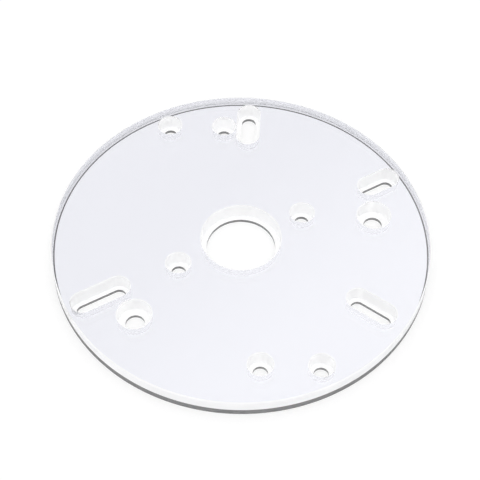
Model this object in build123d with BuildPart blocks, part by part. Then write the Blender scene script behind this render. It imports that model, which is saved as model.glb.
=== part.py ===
"""Round clear acrylic base plate for a hand-held router.

One machined plate. Its lower face, at z = 0, bolts to the router. Its upper face slides on the
work, so the screw heads and the guide bushing's flange sink into steps cut from that face. Every
step stops at the same thin web, which lets the router's own short screws reach its base.
The origin is the centre of the lower face and +Y runs along the top slot.
"""

from build123d import *
import os
from math import radians, cos, sin

os.makedirs("parts", exist_ok=True)

# The plate, in millimetres
plate_diameter = 165.1
plate_thickness = 9.0
web_thickness = 1.6
rim_chamfer = 0.5
mouth_chamfer = 0.3
cut_overrun = 1.0

# The stepped bore in the middle, for a template guide bushing
guide_bore_diameter = 30.2
guide_seat_diameter = 34.9

# Screw holes in opposite pairs on three circles
screw_hole_diameter = 6.4
screw_head_diameter = 10.8
near_pair_radius = 30.3
middle_pair_radius = 64.7
outer_pair_radius = 72.5
near_pair_angle = 30.0
middle_pair_angle = 100.0
outer_pair_angle = 120.0

# Two large stepped holes, for a starting pin or a wide screw
pin_hole_diameter = 8.2
pin_head_diameter = 14.8
pin_radius = 60.0
right_pin_angle = 15.0
left_pin_angle = 225.0

# Stepped slots, each with the radius and angle of its middle, its direction and its length
slot_width = 6.4
slot_head_width = 10.4
top_slot_radius = 65.4
top_slot_length = 13.4
left_slot_radius = 66.6
left_slot_length = 16.4
lower_slot_radius = 65.4
lower_slot_length = 12.8
upper_slot_radius = 69.3
upper_slot_length = 9.4
top_slot_angle = 90.0
left_slot_angle = 210.0
left_slot_direction = 212.5
lower_slot_angle = 330.0
lower_slot_direction = 327.5
upper_slot_angle = 30.0
upper_slot_direction = 32.5


def on_circle(radius, angle):
    """A point of the plate at a radius and an angle from +X."""
    return (radius * cos(radians(angle)), radius * sin(radians(angle)))


def opposite_pair(radius, angle):
    """Two points on one line through the plate's centre."""
    return [on_circle(radius, angle), on_circle(radius, angle + 180.0)]


screw_places = (
    opposite_pair(near_pair_radius, near_pair_angle)
    + opposite_pair(middle_pair_radius, middle_pair_angle)
    + opposite_pair(outer_pair_radius, outer_pair_angle)
)
pin_places = [on_circle(pin_radius, right_pin_angle), on_circle(pin_radius, left_pin_angle)]
slots = [
    (top_slot_radius, top_slot_angle, top_slot_angle, top_slot_length),
    (left_slot_radius, left_slot_angle, left_slot_direction, left_slot_length),
    (lower_slot_radius, lower_slot_angle, lower_slot_direction, lower_slot_length),
    (upper_slot_radius, upper_slot_angle, upper_slot_direction, upper_slot_length),
]

web_plane = Plane.XY.offset(web_thickness)


def opening_profiles(guide_diameter, screw_diameter, pin_diameter, width):
    """The outlines of every opening at one level, in the sketch that calls this."""
    Circle(guide_diameter / 2)
    with Locations(*screw_places):
        Circle(screw_diameter / 2)
    with Locations(*pin_places):
        Circle(pin_diameter / 2)
    for radius, angle, direction, length in slots:
        with Locations(on_circle(radius, angle)):
            SlotCenterToCenter(length, width, rotation=direction)


with BuildPart() as base_plate:
    with BuildSketch(Plane.XY):
        Circle(plate_diameter / 2)
    extrude(amount=plate_thickness)
    chamfer(base_plate.edges(), rim_chamfer)

    # The narrow openings go right through
    with BuildSketch(Plane.XY):
        opening_profiles(guide_bore_diameter, screw_hole_diameter, pin_hole_diameter, slot_width)
    extrude(amount=plate_thickness + cut_overrun, mode=Mode.SUBTRACT)

    # The wide steps go from the web up through the sliding face
    with BuildSketch(web_plane):
        opening_profiles(
            guide_seat_diameter, screw_head_diameter, pin_head_diameter, slot_head_width
        )
    extrude(amount=plate_thickness, mode=Mode.SUBTRACT)

    # Each opening's mouth in the sliding face is broken with a small chamfer
    sliding_face = base_plate.faces().sort_by(Axis.Z)[-1]
    mouth_edges = [edge for wire in sliding_face.inner_wires() for edge in wire.edges()]
    chamfer(mouth_edges, mouth_chamfer)

base_plate.part.label = "base_plate"
export_step(base_plate.part, "parts/base_plate.step")
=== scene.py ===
"""A clear acrylic router base plate on a white table, seen from above at the photograph's angle."""

from math import cos, pi, radians, sin

import bmesh
import bpy
from mathutils import Matrix, Vector
from mathutils.geometry import tessellate_polygon


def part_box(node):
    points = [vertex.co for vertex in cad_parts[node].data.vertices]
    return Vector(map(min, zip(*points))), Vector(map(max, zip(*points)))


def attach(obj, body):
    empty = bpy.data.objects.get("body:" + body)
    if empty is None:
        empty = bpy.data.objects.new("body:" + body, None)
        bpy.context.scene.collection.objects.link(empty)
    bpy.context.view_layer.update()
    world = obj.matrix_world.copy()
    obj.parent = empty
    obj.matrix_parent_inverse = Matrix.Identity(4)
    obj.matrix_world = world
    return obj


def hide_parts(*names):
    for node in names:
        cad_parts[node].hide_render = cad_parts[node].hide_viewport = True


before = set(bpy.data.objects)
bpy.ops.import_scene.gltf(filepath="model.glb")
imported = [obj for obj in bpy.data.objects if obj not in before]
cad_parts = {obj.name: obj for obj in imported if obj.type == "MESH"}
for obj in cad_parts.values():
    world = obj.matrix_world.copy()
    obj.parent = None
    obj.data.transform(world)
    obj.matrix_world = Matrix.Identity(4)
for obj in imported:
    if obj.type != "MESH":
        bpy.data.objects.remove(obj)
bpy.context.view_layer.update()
scene = bpy.context.scene

# The plate's sizes, in metres, as the CAD source has them
MM = 0.001
LOWEST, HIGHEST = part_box("base_plate")
PLATE_RADIUS = (HIGHEST.x - LOWEST.x) / 2
THICKNESS = HIGHEST.z - LOWEST.z
WEB = 1.6 * MM
RIM_CHAMFER = 0.5 * MM
MOUTH_CHAMFER = 0.3 * MM
GUIDE_BORE, GUIDE_SEAT = 30.2 * MM / 2, 34.9 * MM / 2
SCREW_HOLE, SCREW_HEAD = 6.4 * MM / 2, 10.8 * MM / 2
PIN_HOLE, PIN_HEAD = 8.2 * MM / 2, 14.8 * MM / 2
SLOT, SLOT_HEAD = 6.4 * MM / 2, 10.4 * MM / 2

# Where the openings are, in millimetres and degrees from +X: radius and angle of the first hole of
# each opposite pair, then of each pin hole, then of each slot with its direction and length
SCREW_PAIRS = ((30.3, 30.0), (64.7, 100.0), (72.5, 120.0))
PIN_PLACES = ((60.0, 15.0), (60.0, 225.0))
SLOT_PLACES = (
    (65.4, 90.0, 90.0, 13.4),
    (66.6, 210.0, 212.5, 16.4),
    (65.4, 330.0, 327.5, 12.8),
    (69.3, 30.0, 32.5, 9.4),
)

# Every opening: radius and angle of its middle, direction, length between the end centres, and the
# radius of its narrow and of its wide part
OPENINGS = [(0.0, 0.0, 0.0, 0.0, GUIDE_BORE, GUIDE_SEAT)]
for place_radius, angle in SCREW_PAIRS:
    for turn in (0.0, 180.0):
        OPENINGS.append((place_radius * MM, angle + turn, 0.0, 0.0, SCREW_HOLE, SCREW_HEAD))
for place_radius, angle in PIN_PLACES:
    OPENINGS.append((place_radius * MM, angle, 0.0, 0.0, PIN_HOLE, PIN_HEAD))
for place_radius, angle, direction, length in SLOT_PLACES:
    OPENINGS.append((place_radius * MM, angle, direction, length * MM, SLOT, SLOT_HEAD))

# The fineness of the mesh, and the angle from which an edge is shown sharp
ARC_STEP = 0.35 * MM
RIM_STEPS = 720
SHARP_ANGLE = radians(20)

# The parts of the surface, in the order of their materials
(
    UPPER_FACE,
    LOWER_FACE,
    FACE_EDGE,
    STEP_FLOOR,
    STEP_WALL,
    WEB_WALL,
    RIM_UPPER,
    RIM_FOOT,
    MOUTH,
) = range(9)

# Two parts that carry a painted dark shade: the rim's foot, up to this height, and the edge of the
# lower face, from this far inside the rim out to the chamfer
RIM_FOOT_TOP = 3.7 * MM
FACE_EDGE_WIDTH = 1.1 * MM


def outline(opening, radius, steps):
    """Points round one opening, anticlockwise, the same number of them at every radius."""
    place_radius, angle, direction, length, _, _ = opening
    middle = Vector((cos(radians(angle)), sin(radians(angle)))) * place_radius
    along = Vector((cos(radians(direction)), sin(radians(direction))))
    points = []
    for i in range(steps):
        a = 2 * pi * i / steps
        shift = length / 2 if cos(a) > 0 else -length / 2
        ray = Matrix.Rotation(radians(direction), 2) @ Vector((cos(a), sin(a)))
        points.append(middle + along * shift + ray * radius)
    return points


def make_plate():
    """The plate as one closed mesh: flat faces, the rim, and every opening's walls and step."""
    bm = bmesh.new()

    def ring(points, z):
        return [bm.verts.new((p.x, p.y, z)) for p in points]

    def band(low, high, part, inward):
        """Smooth quads between two rings. The normals point away from the solid."""
        n = len(low)
        for i in range(n):
            j = (i + 1) % n
            if inward:
                face = bm.faces.new((low[i], high[i], high[j], low[j]))
            else:
                face = bm.faces.new((low[i], low[j], high[j], high[i]))
            face.material_index = part
            face.smooth = True

    turns = [2 * pi * i / RIM_STEPS for i in range(RIM_STEPS)]
    circle = [Vector((cos(a), sin(a))) for a in turns]
    face_edge = [p * (PLATE_RADIUS - FACE_EDGE_WIDTH) for p in circle]
    inner = [p * (PLATE_RADIUS - RIM_CHAMFER) for p in circle]
    outer = [p * PLATE_RADIUS for p in circle]
    rim = [
        ring(face_edge, 0.0),
        ring(inner, 0.0),
        ring(outer, RIM_CHAMFER),
        ring(outer, RIM_FOOT_TOP),
        ring(outer, THICKNESS - RIM_CHAMFER),
        ring(inner, THICKNESS),
    ]
    # The lower face's edge band and the rim's foot take the painted dark shade
    rim_parts = (FACE_EDGE, RIM_FOOT, RIM_FOOT, RIM_UPPER, RIM_UPPER)
    for low, high, part in zip(rim, rim[1:], rim_parts):
        band(low, high, part, inward=False)

    lower_loops, upper_loops = [rim[0]], [rim[-1]]
    for opening in OPENINGS:
        narrow, wide = opening[4:]
        # Two more than a multiple of four, so that no point falls between a slot's two ends
        steps = 4 * round(2 * pi * wide / ARC_STEP / 4) + 2
        rings = [
            ring(outline(opening, narrow, steps), 0.0),
            ring(outline(opening, narrow, steps), WEB),
            ring(outline(opening, wide, steps), WEB),
            ring(outline(opening, wide, steps), THICKNESS - MOUTH_CHAMFER),
            ring(outline(opening, wide + MOUTH_CHAMFER, steps), THICKNESS),
        ]
        opening_parts = (WEB_WALL, STEP_FLOOR, STEP_WALL, MOUTH)
        for low, high, part in zip(rings, rings[1:], opening_parts):
            band(low, high, part, inward=True)
        lower_loops.append(rings[0])
        upper_loops.append(rings[-1])

    for loops, up in ((lower_loops, False), (upper_loops, True)):
        verts = [v for loop in loops for v in loop]
        for a, b, c in tessellate_polygon([[v.co for v in loop] for loop in loops]):
            face = bm.faces.new((verts[a], verts[b], verts[c]))
            face.normal_update()
            if (face.normal.z > 0) != up:
                face.normal_flip()
            face.material_index = UPPER_FACE if up else LOWER_FACE
            face.smooth = True

    bm.normal_update()
    for edge in bm.edges:
        if len(edge.link_faces) == 2 and edge.calc_face_angle() > SHARP_ANGLE:
            edge.smooth = False
    mesh = bpy.data.meshes.new("clear_plate")
    bm.to_mesh(mesh)
    bm.free()
    plate = bpy.data.objects.new("clear_plate", mesh)
    scene.collection.objects.link(plate)
    return plate


def fill(node, values):
    """Sets a node's own values, by the names of its inputs."""
    for name, value in values.items():
        node.inputs[name].default_value = value


def calculated(tree, operation, *inputs):
    """The result of a Math node. Its inputs are numbers or other nodes' results."""
    node = tree.nodes.new("ShaderNodeMath")
    node.operation = operation
    for socket, value in zip(node.inputs, inputs):
        if isinstance(value, float):
            socket.default_value = value
        else:
            tree.links.new(value, socket)
    return node.outputs["Value"]


# What every part of the surface has alike
ACRYLIC_IOR = 1.49
NOISE_DETAIL = 4.0
BUMP_STRENGTH, BUMP_DEPTH = 0.03, 0.02 * MM


def acrylic(name, tone, roughness, grain, stretch, inner_tone=None):
    """Clear acrylic with its own finish and tone, and another tone for its inner side where one is
    given. On some parts these tones are painted shade.
    """
    material = bpy.data.materials.new(name)
    material.use_nodes = True
    nodes, links = material.node_tree.nodes, material.node_tree.links
    shader = nodes["Principled BSDF"]
    fill(shader, {"Base Color": tone, "Transmission Weight": 1.0, "IOR": ACRYLIC_IOR})

    # A fine unevenness of the surface, by its own place on the plate
    coordinates = nodes.new("ShaderNodeTexCoord")
    mapping = nodes.new("ShaderNodeMapping")
    fill(mapping, {"Scale": stretch})
    noise = nodes.new("ShaderNodeTexNoise")
    fill(noise, {"Scale": grain, "Detail": NOISE_DETAIL})
    spread = nodes.new("ShaderNodeMapRange")
    fill(spread, {"To Min": roughness[0], "To Max": roughness[1]})
    bump = nodes.new("ShaderNodeBump")
    fill(bump, {"Strength": BUMP_STRENGTH, "Distance": BUMP_DEPTH})
    links.new(coordinates.outputs["Object"], mapping.inputs["Vector"])
    links.new(mapping.outputs["Vector"], noise.inputs["Vector"])
    links.new(noise.outputs["Fac"], spread.inputs["Value"])
    links.new(spread.outputs["Result"], shader.inputs["Roughness"])
    links.new(noise.outputs["Fac"], bump.inputs["Height"])
    links.new(bump.outputs["Normal"], shader.inputs["Normal"])

    # The inner side is the one that light meets from within the acrylic. Where the two tones
    # differ, the painted shade differs by the side from which the surface is seen
    if inner_tone:
        side_of_face = nodes.new("ShaderNodeNewGeometry")
        by_side = nodes.new("ShaderNodeMix")
        by_side.data_type = "RGBA"
        fill(by_side, {"A": tone, "B": inner_tone})
        links.new(side_of_face.outputs["Backfacing"], by_side.inputs["Factor"])
        links.new(by_side.outputs["Result"], shader.inputs["Base Color"])
    return material


# The tones: clear; the upper face's bluish tint, darker than the acrylic's own so that it also
# carries painted shade, the table's shadow under the plate as seen through it; a pale painted shade
# for the rim's inner side; and a dark painted shade. That is fixed to the surface and stands for
# the dark lines that the photo's studio draws along the plate's lower edges
CLEAR = (1.0, 1.0, 1.0, 1.0)
BLUISH_TINT_AND_SHADE = (0.795, 0.802, 0.88, 1.0)
INNER_RIM_SHADE = (0.92, 0.923, 0.94, 1.0)
SHADE = (0.05, 0.05, 0.05, 1.0)

# The finishes, as the least and the most roughness: sheet as it comes, and edges cut by a tool
POLISHED = (0.0, 0.02)
FLOOR_FINISH = (0.1, 0.15)
MOUTH_FINISH = (0.2, 0.3)
WALL_FINISH = (0.3, 0.4)
RIM_FINISH = (0.45, 0.55)

# How fine the unevenness is, and how it lies: the same every way, or in rounds as a cutter leaves
FACE_GRAIN, FLOOR_GRAIN, WALL_GRAIN = 60.0, 600.0, 900.0
EVEN, TURNED = (1.0, 1.0, 1.0), (1.0, 1.0, 8.0)

plate = make_plate()
# Painted shade: dark on face_edge, on web_wall's outer side and on rim_foot's outer side; pale on
# the inner side of rim_upper and rim_foot; and in the upper face's tint
for finish in (
    acrylic("upper_face", BLUISH_TINT_AND_SHADE, POLISHED, FACE_GRAIN, EVEN),
    acrylic("lower_face", CLEAR, POLISHED, FACE_GRAIN, EVEN),
    acrylic("face_edge", SHADE, POLISHED, FACE_GRAIN, EVEN),
    acrylic("step_floor", CLEAR, FLOOR_FINISH, FLOOR_GRAIN, EVEN),
    acrylic("step_wall", CLEAR, WALL_FINISH, WALL_GRAIN, TURNED),
    acrylic("web_wall", SHADE, WALL_FINISH, WALL_GRAIN, TURNED, CLEAR),
    acrylic("rim_upper", CLEAR, RIM_FINISH, WALL_GRAIN, TURNED, INNER_RIM_SHADE),
    acrylic("rim_foot", SHADE, RIM_FINISH, WALL_GRAIN, TURNED, INNER_RIM_SHADE),
    acrylic("mouth", CLEAR, MOUTH_FINISH, WALL_GRAIN, TURNED),
):
    plate.data.materials.append(finish)
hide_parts("base_plate")
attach(plate, "root")

# The camera of the photograph, as fitted to the plate's rim and holes. Its distance is in plate
# radii, and the scale and the plate's centre are in pixels of the photograph's frame
CAMERA_DISTANCE = 6.89
CAMERA_ELEVATION = radians(53.4)
CAMERA_AZIMUTH = radians(2.3)
CAMERA_ROLL = radians(-0.82)
PIXELS_PER_RADIUS = 189.53
CENTRE_X, CENTRE_Y = 241.09, 237.02
FRAME_PIXELS = 480.0
SENSOR = 36.0
NEAREST_SEEN = 0.01

right = Vector((cos(CAMERA_AZIMUTH), sin(CAMERA_AZIMUTH), 0.0))
ahead = Vector((-sin(CAMERA_AZIMUTH), cos(CAMERA_AZIMUTH), 0.0))
look = ahead * cos(CAMERA_ELEVATION) - Vector((0.0, 0.0, sin(CAMERA_ELEVATION)))
above = ahead * sin(CAMERA_ELEVATION) + Vector((0.0, 0.0, cos(CAMERA_ELEVATION)))
side = right * cos(CAMERA_ROLL) - above * sin(CAMERA_ROLL)
top = right * sin(CAMERA_ROLL) + above * cos(CAMERA_ROLL)
spot = Vector((0.0, 0.0, THICKNESS)) - look * CAMERA_DISTANCE * PLATE_RADIUS
placing = Matrix((side, top, -look)).transposed().to_4x4()
placing.translation = spot
camera_data = bpy.data.cameras.new("camera")
camera_data.sensor_width = SENSOR
camera_data.lens = PIXELS_PER_RADIUS * CAMERA_DISTANCE / FRAME_PIXELS * SENSOR
camera_data.shift_x = (FRAME_PIXELS / 2 - CENTRE_X) / FRAME_PIXELS
camera_data.shift_y = (CENTRE_Y - FRAME_PIXELS / 2) / FRAME_PIXELS
camera_data.clip_start = NEAREST_SEEN
camera = bpy.data.objects.new("camera", camera_data)
camera.matrix_world = placing
scene.collection.objects.link(camera)
scene.camera = camera

# A white table, just under the plate. Rays that see it, directly, mirrored or through the plate,
# get part of its white as a plain glow
TABLE_SIZE = 6.0
TABLE_HEIGHT = -0.1 * MM
TABLE_ALBEDO = 0.3
TABLE_GLOW = 0.735
WHITE = (1.0, 1.0, 1.0, 1.0)

bpy.ops.mesh.primitive_plane_add(size=TABLE_SIZE, location=(0.0, 0.0, TABLE_HEIGHT))
table = bpy.context.object
table.name = "table"

table_top = bpy.data.materials.new("table_top")
table_top.use_nodes = True
tree = table_top.node_tree
shader = tree.nodes["Principled BSDF"]
table_colour = (TABLE_ALBEDO, TABLE_ALBEDO, TABLE_ALBEDO, 1.0)
fill(shader, {"Base Color": table_colour, "Roughness": 1.0, "Specular IOR Level": 0.0})
fill(shader, {"Emission Color": WHITE})
rays = tree.nodes.new("ShaderNodeLightPath").outputs
direct = calculated(tree, "MAXIMUM", rays["Is Camera Ray"], rays["Is Glossy Ray"])
seen = calculated(tree, "MAXIMUM", direct, rays["Is Transmission Ray"])
glow = calculated(tree, "MULTIPLY", seen, TABLE_GLOW)
tree.links.new(glow, shader.inputs["Emission Strength"])
table.data.materials.append(table_top)

# The studio: a soft gradient for the plate's face to mirror, from dim low down to bright overhead.
# It leans to one side: how high a ray's direction is counts along that lean
DIM, BRIGHT = 0.0, 1.6
DIM_TO, BRIGHT_FROM = 0.745, 0.88
LEAN = 0.5

world = bpy.data.worlds.new("studio")
scene.world = world
world.use_nodes = True
tree = world.node_tree
background = tree.nodes["Background"]
fill(background, {"Color": WHITE})
ray_direction = tree.nodes.new("ShaderNodeTexCoord")
upward = tree.nodes.new("ShaderNodeVectorMath")
upward.operation = "DOT_PRODUCT"
upward.inputs[1].default_value = (LEAN, 0.0, 1.0)
gradient = tree.nodes.new("ShaderNodeMapRange")
gradient.interpolation_type = "SMOOTHSTEP"
fill(gradient, {"From Min": DIM_TO, "From Max": BRIGHT_FROM, "To Min": DIM, "To Max": BRIGHT})
tree.links.new(ray_direction.outputs["Generated"], upward.inputs[0])
tree.links.new(upward.outputs["Value"], gradient.inputs["Value"])

# Only rays mirrored by the plate's outside find the gradient. The light on every surface, and what
# is seen past the plate or through it, is a plain white
rays = tree.nodes.new("ShaderNodeLightPath").outputs
not_through = calculated(tree, "SUBTRACT", 1.0, rays["Is Transmission Ray"])
mirrored = calculated(tree, "MULTIPLY", rays["Is Glossy Ray"], not_through)
strength = tree.nodes.new("ShaderNodeMix")
fill(strength, {"A": 1.0})
tree.links.new(mirrored, strength.inputs["Factor"])
tree.links.new(gradient.outputs["Result"], strength.inputs["B"])
tree.links.new(strength.outputs["Result"], background.inputs["Strength"])

# Light goes through many surfaces of clear acrylic, and the satin walls keep their own roughness
BOUNCES = 32
scene.view_settings.view_transform = "Standard"
scene.cycles.max_bounces = BOUNCES
scene.cycles.transmission_bounces = BOUNCES
scene.cycles.glossy_bounces = BOUNCES
scene.cycles.blur_glossy = 0.0
